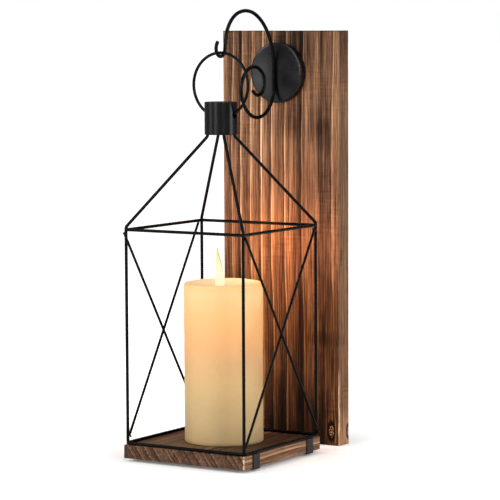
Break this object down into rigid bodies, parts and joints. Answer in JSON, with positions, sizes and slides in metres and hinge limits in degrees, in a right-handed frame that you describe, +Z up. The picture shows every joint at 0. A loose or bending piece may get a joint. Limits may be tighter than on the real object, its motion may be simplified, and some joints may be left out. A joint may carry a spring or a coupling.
{
  "type": "wall sconce candle holder",
  "caption": "Wooden wall board with a scrolled hook, from which a ring carries an open wire lantern with a flameless pillar candle on a wooden base.",
  "frame": {"origin": "centre of the backboard's back face, which lies flat on the wall", "axes": "+X to the right as one faces the wall, +Y into the wall, +Z up along the board"},
  "size_m": [0.1384, 0.1956, 0.4273],
  "materials": {
    "stained_pine": "torched and oiled pine, satin",
    "stained_pine_base": "torched and oiled pine, satin",
    "black_wire": "matte black powder coat",
    "black_strap": "matte black powder coat",
    "zinc_steel": "zinc plated",
    "ivory_wax": "real wax coat, soft sheen",
    "white_plastic": "moulded, matt",
    "black_plastic": "moulded, matt",
    "battery_jacket": "plain printed sleeve with no lettering",
    "nickel_steel": "nickel plated",
    "green_board": "circuit board lacquer",
    "copper_coil": "lacquered copper wire",
    "led_lens": "clear amber lens",
    "flame_plastic": "translucent, lit from below"
  },
  "bodies": {
    "wall_board": {"backboard": "stained_pine", "keyhole_hanger": "zinc_steel", "hanger_screws": "zinc_steel", "rosette": "black_wire", "rosette_stud": "zinc_steel", "stud_washer": "zinc_steel", "stud_nut": "zinc_steel", "hook": "black_wire"},
    "ring": {"hanging_ring": "black_wire"},
    "lantern": {"collar": "black_wire", "bottom_frame": "black_wire", "base_board": "stained_pine_base", "strap_front": "black_strap", "strap_back": "black_strap", "top_rail_front": "black_wire", "corner_rod_front_left": "black_wire", "corner_rod_front_right": "black_wire", "top_rail_back": "black_wire", "corner_rod_back_left": "black_wire", "corner_rod_back_right": "black_wire", "top_rail_left": "black_wire", "top_rail_right": "black_wire", "brace_right_outer": "black_wire", "brace_right_inner": "black_wire", "brace_left_outer": "black_wire", "brace_left_inner": "black_wire"},
    "candle": {"wax_shell": "ivory_wax", "candle_housing": "white_plastic", "battery_tube": "white_plastic", "battery_left": "battery_jacket", "battery_right": "battery_jacket", "lower_contact": "nickel_steel", "upper_contact": "nickel_steel", "circuit_board": "green_board", "engine_tube": "white_plastic", "drive_coil": "copper_coil", "led": "led_lens", "led_bridge": "white_plastic", "flame_pin": "nickel_steel"},
    "flame": {"flame_petal": "flame_plastic", "flame_magnet": "nickel_steel"},
    "switch": {"switch_slider": "black_plastic"},
    "battery_door": {"battery_door": "white_plastic"}
  },
  "joints": [
    {"name": "ring_sway", "type": "hinge", "parent": "wall_board", "child": "ring", "pos_m": [0, -0.12658, 0.18304], "axis": [0, 1, 0], "range_deg": [-15, 15]},
    {"name": "lantern_tilt", "type": "hinge", "parent": "ring", "child": "lantern", "pos_m": [0, -0.12658, 0.12604], "axis": [1, 0, 0], "range_deg": [-25, 6]},
    {"name": "candle_out", "type": "slide", "parent": "lantern", "child": "candle", "axis": [0, -0.9781, 0.2079], "range_m": [0, 0.15]},
    {"name": "flame_swing", "type": "hinge", "parent": "candle", "child": "flame", "pos_m": [-0.0025, -0.12658, -0.05406], "axis": [0, 1, 0], "range_deg": [-8, 8]},
    {"name": "switch_slide", "type": "slide", "parent": "candle", "child": "switch", "axis": [0, 1, 0], "range_m": [0, 0.004]},
    {"name": "battery_door_twist", "type": "hinge", "parent": "candle", "child": "battery_door", "pos_m": [-0.0025, -0.12658, -0.18506], "axis": [0, 0, 1], "range_deg": [0, 45]}
  ]
}
